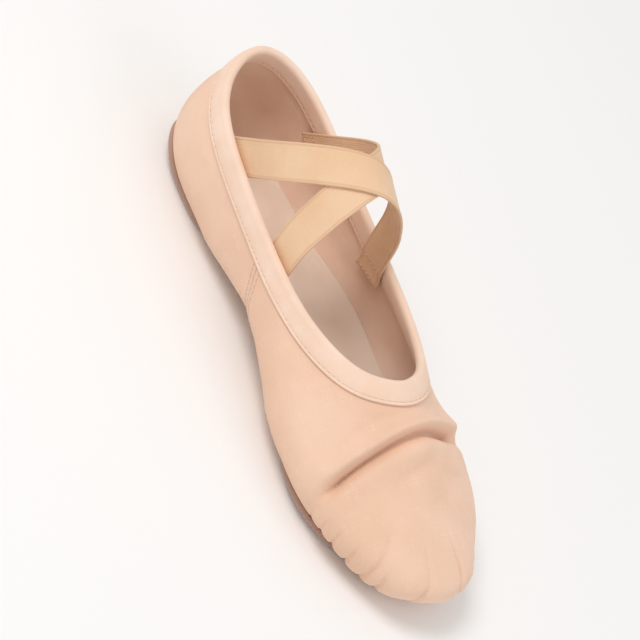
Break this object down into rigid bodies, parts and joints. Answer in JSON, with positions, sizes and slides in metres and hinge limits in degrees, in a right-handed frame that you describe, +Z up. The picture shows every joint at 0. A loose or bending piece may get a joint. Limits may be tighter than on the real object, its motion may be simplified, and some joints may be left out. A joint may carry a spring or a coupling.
{
  "type": "split-sole ballet slipper",
  "caption": "Soft canvas ballet slipper with a gathered toe, two separate suede sole patches, a bound collar and crossed elastics over the instep.",
  "frame": {"origin": "on the floor, below the middle of the slipper's bounding box", "axes": "+Z up, the toe towards -Y and the heel towards +Y, +X to the wearer's left"},
  "size_m": [0.0792, 0.2321, 0.0805],
  "materials": {
    "canvas": "matt plain-weave cotton canvas, pale peach",
    "binding_tape": "bias-cut cotton tape, a shade lighter than the canvas",
    "suede": "short-napped suede, pinkish taupe",
    "sock_lining": "thin cotton sock, off-white",
    "elastic": "flat woven elastic, yellower than the canvas"
  },
  "bodies": {
    "root": {"upper": "canvas", "collar_binding": "binding_tape", "ball_patch": "suede", "heel_patch": "suede", "insole": "sock_lining", "elastic_strap_over": "elastic", "elastic_strap_under": "elastic"}
  },
  "joints": []
}
